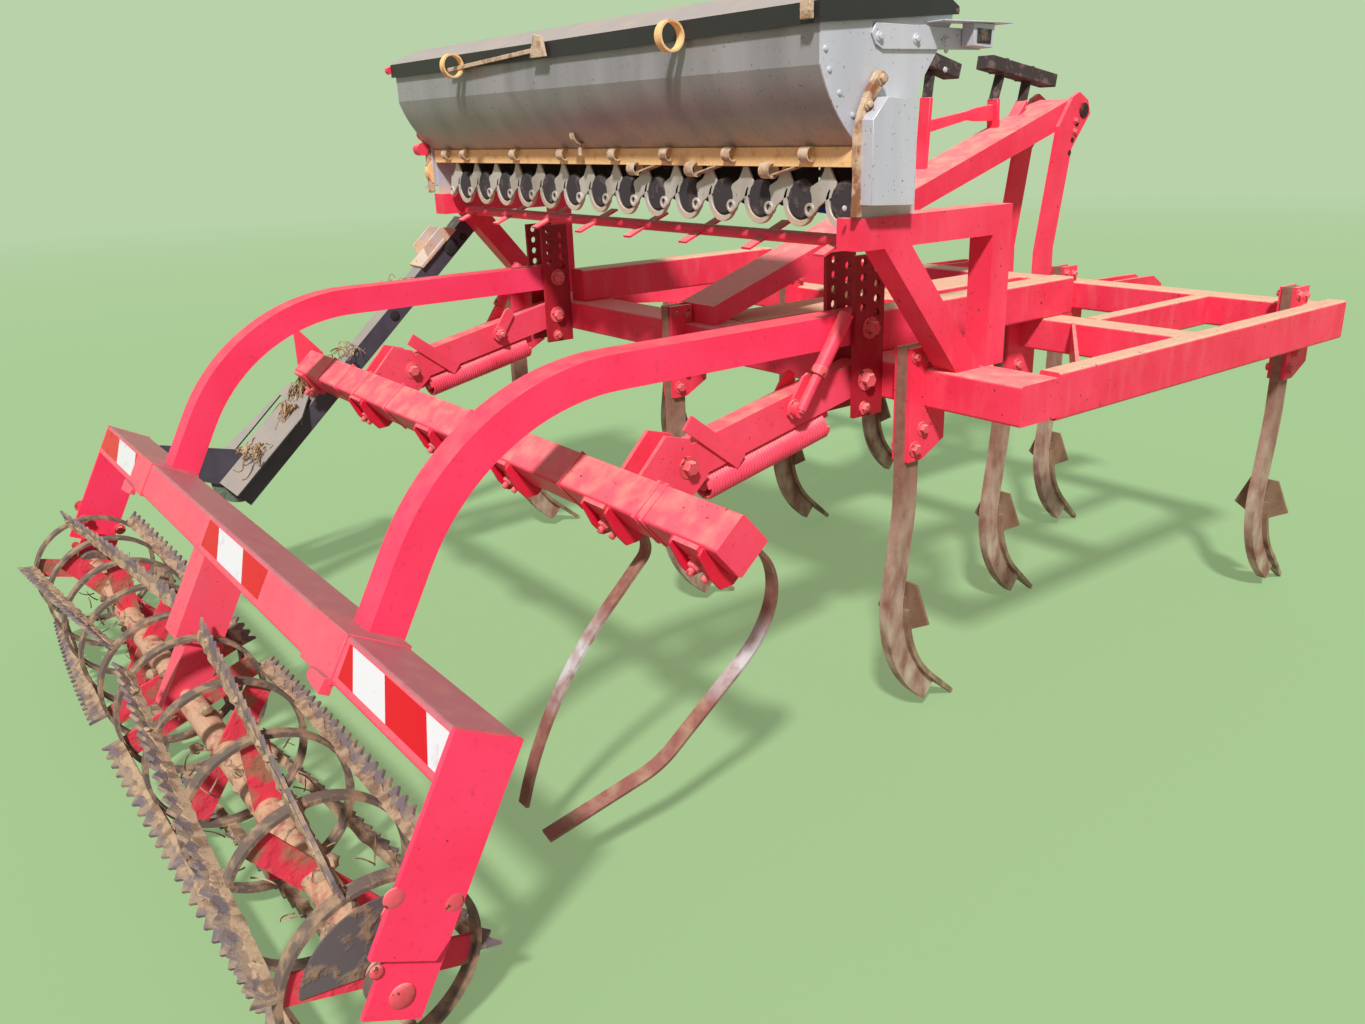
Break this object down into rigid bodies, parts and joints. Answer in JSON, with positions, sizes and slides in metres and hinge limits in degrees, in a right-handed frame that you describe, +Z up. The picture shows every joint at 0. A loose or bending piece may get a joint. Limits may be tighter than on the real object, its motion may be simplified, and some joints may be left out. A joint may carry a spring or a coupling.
{
  "type": "mounted field cultivator",
  "caption": "Tractor-mounted field cultivator with rows of curved rigid tines, a spring harrow bar, a split cage roller and a seed hopper with a domed lid.",
  "frame": {"origin": "centre of the overall footprint, on the ground under the points and the roller", "axes": "+Y in the driving direction towards the tractor, +X to the machine's right hand, +Z up"},
  "size_m": [2.65, 3.8566, 1.8873],
  "materials": {
    "red_paint": "faded red paint, dusty",
    "dark_steel": "dark forged steel",
    "bare_steel": "worn and rusty steel",
    "rusty_steel": "rust and dry soil over red paint",
    "pin_steel": "plain steel",
    "grey_paint": "dusty grey paint"
  },
  "bodies": {
    "frame": {"arm_pivot_pins": "pin_steel", "arm_plates": "red_paint", "centre_beam": "red_paint", "feed_shaft": "bare_steel", "feed_units": "grey_paint", "frame_gussets": "red_paint", "front_beam": "red_paint", "harrow_pivot_pins": "pin_steel", "hitch_ears": "red_paint", "hopper_ends": "grey_paint", "hopper_stands": "red_paint", "hopper_trough": "grey_paint", "inner_rails": "red_paint", "lid_pivot_pins": "pin_steel", "lower_link_pins": "pin_steel", "mast_brace": "red_paint", "mast_plates": "red_paint", "middle_beam": "red_paint", "rear_beam": "red_paint", "seed_rail": "rusty_steel", "side_beams": "red_paint", "spreader_pipe": "red_paint", "tine_holders_front": "red_paint", "tine_holders_middle": "red_paint", "tine_holders_rear": "red_paint", "tine_points_front": "bare_steel", "tine_points_middle": "bare_steel", "tine_points_rear": "bare_steel", "tine_shanks_front": "dark_steel", "tine_shanks_middle": "dark_steel", "tine_shanks_rear": "dark_steel", "upper_rails": "red_paint"},
    "roller_frame": {"roller_arms": "red_paint", "roller_beam": "red_paint", "roller_end_plates": "rusty_steel", "roller_bearing_plates": "rusty_steel", "roller_end_hubs": "rusty_steel", "roller_hanger": "red_paint", "drive_case": "grey_paint"},
    "roller_right": {"roller_shaft_right": "rusty_steel", "roller_hoops_right": "rusty_steel", "roller_bars_right": "bare_steel"},
    "roller_left": {"roller_shaft_left": "rusty_steel", "roller_hoops_left": "rusty_steel", "roller_bars_left": "bare_steel"},
    "harrow": {"harrow_bar": "red_paint", "harrow_arms": "red_paint", "harrow_lugs": "red_paint", "harrow_lug_pins": "pin_steel", "harrow_springs": "red_paint", "harrow_rods": "red_paint", "harrow_clamps": "red_paint", "harrow_tines": "dark_steel", "harrow_links": "red_paint", "harrow_spike": "red_paint"},
    "hopper_lid": {"hopper_lid": "grey_paint", "lid_latches": "dark_steel"}
  },
  "joints": [
    {"name": "roller_frame_depth", "type": "hinge", "parent": "frame", "child": "roller_frame", "pos_m": [0, -0.1, 1.094], "axis": [1, 0, 0], "range_deg": [0, 6]},
    {"name": "roller_right_turn", "type": "hinge", "parent": "roller_frame", "child": "roller_right", "pos_m": [0.5, -1.70419, 0.23], "axis": [1, 0, 0], "continuous": true},
    {"name": "roller_left_turn", "type": "hinge", "parent": "roller_frame", "child": "roller_left", "pos_m": [-0.5, -1.70419, 0.23], "axis": [1, 0, 0], "continuous": true},
    {"name": "harrow_depth", "type": "hinge", "parent": "frame", "child": "harrow", "pos_m": [0, -0.112, 0.96], "axis": [1, 0, 0], "range_deg": [-3, 6]},
    {"name": "lid_open", "type": "hinge", "parent": "frame", "child": "hopper_lid", "pos_m": [0, -0.089, 1.821], "axis": [-1, 0, 0], "range_deg": [0, 100]}
  ]
}
